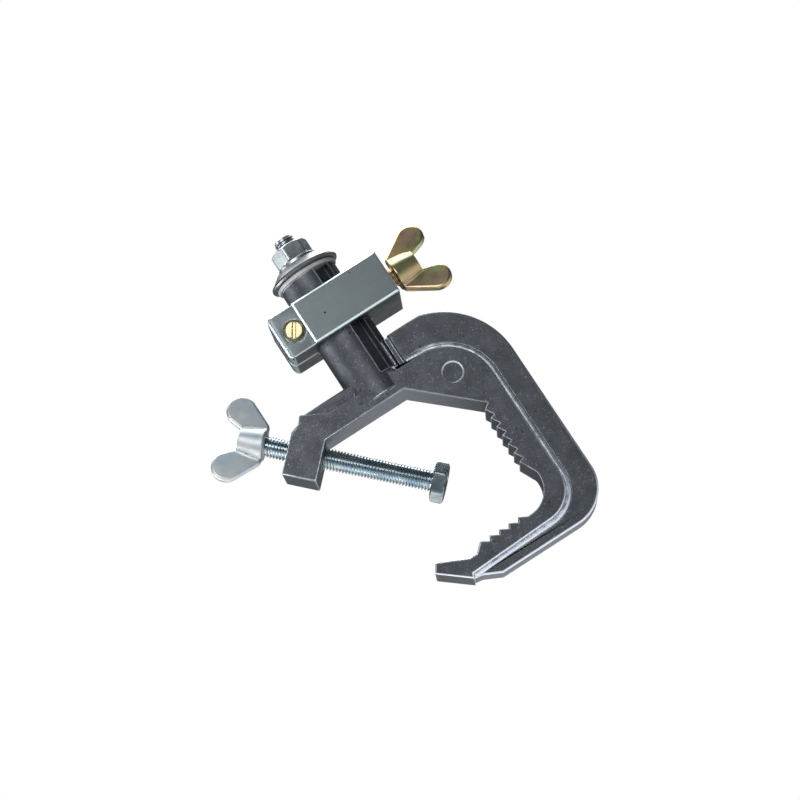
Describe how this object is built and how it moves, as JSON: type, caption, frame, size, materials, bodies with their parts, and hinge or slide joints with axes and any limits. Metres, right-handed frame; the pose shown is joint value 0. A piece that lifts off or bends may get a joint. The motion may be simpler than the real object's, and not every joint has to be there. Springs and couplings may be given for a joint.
{
  "type": "tube clamp",
  "caption": "Hooked tube clamp for lighting: toothed cast jaw, 45 degree wing screw with turning foot, and a lockable swivel block on a post with a threaded stud.",
  "frame": {"origin": "centre of the 38.1 mm tube that the jaw holds at rest, on the casting's mid-plane", "axes": "+Y along the tube, +Z along the post towards its nut, +X from the clamping screw's boss towards the hook's back leg"},
  "size_m": [0.1485, 0.038, 0.1902],
  "materials": {
    "cast_aluminium": "dark grey pressure-cast skin, satin, fine pits",
    "block_aluminium": "dark grey cast skin, satin",
    "plate_aluminium": "blue-grey anodised, satin, bright chamfers",
    "plain_steel": "plain turned steel",
    "bright_zinc": "bright zinc plate",
    "screw_zinc": "blue zinc plate, glossy",
    "wing_zinc": "blue zinc plate on a casting, satin",
    "yellow_zinc": "yellow iridescent zinc plate",
    "dull_steel": "pressed steel, dull plate",
    "brass": "turned brass",
    "grey_nylon": "pale grey nylon"
  },
  "bodies": {
    "casting": {"hook_casting": "cast_aluminium", "boss_insert": "plain_steel", "stud": "bright_zinc", "stud_dowel": "plain_steel", "friction_washer": "grey_nylon", "cup_washer": "dull_steel", "plain_washer": "bright_zinc", "stud_nut": "bright_zinc"},
    "swivel": {"swivel_block": "block_aluminium", "face_plate": "plate_aluminium", "tension_screw": "brass", "tension_washer": "brass", "tension_nut": "brass", "lock_insert": "plain_steel"},
    "shoe": {"lock_shoe": "brass"},
    "lock_bolt": {"lock_rod": "yellow_zinc", "lock_wing": "yellow_zinc", "lock_wing_pin": "plain_steel"},
    "foot": {"jaw_foot": "screw_zinc", "jaw_foot_ring": "plain_steel"},
    "jaw_screw": {"jaw_rod": "screw_zinc", "jaw_wing": "wing_zinc", "jaw_wing_pin": "plain_steel"}
  },
  "joints": [
    {"name": "swivel_turn", "type": "hinge", "parent": "casting", "child": "swivel", "pos_m": [-0.01525, 0, 0.10975], "axis": [0, 0, 1], "range_deg": [-150, 150]},
    {"name": "lock_feed", "type": "slide", "parent": "swivel", "child": "shoe", "axis": [1, 0, 0], "range_m": [0, 0.006]},
    {"name": "lock_turn", "type": "hinge", "parent": "shoe", "child": "lock_bolt", "pos_m": [0.01, 0, 0.10975], "axis": [1, 0, 0], "range_deg": [-1, 1441]},
    {"name": "jaw_feed", "type": "slide", "parent": "casting", "child": "foot", "axis": [0.7071, 0, -0.7071], "range_m": [-0.0475, 0.0118]},
    {"name": "jaw_turn", "type": "hinge", "parent": "foot", "child": "jaw_screw", "pos_m": [-0.04, 0, 0.04], "axis": [0.7071, 0, -0.7071], "range_deg": [-11401, 2833]}
  ],
  "couplings": [
    {"joint": "lock_turn", "follows": "lock_feed", "rad_per_m": 4188.8},
    {"joint": "jaw_turn", "follows": "jaw_feed", "rad_per_m": 4188.8}
  ]
}
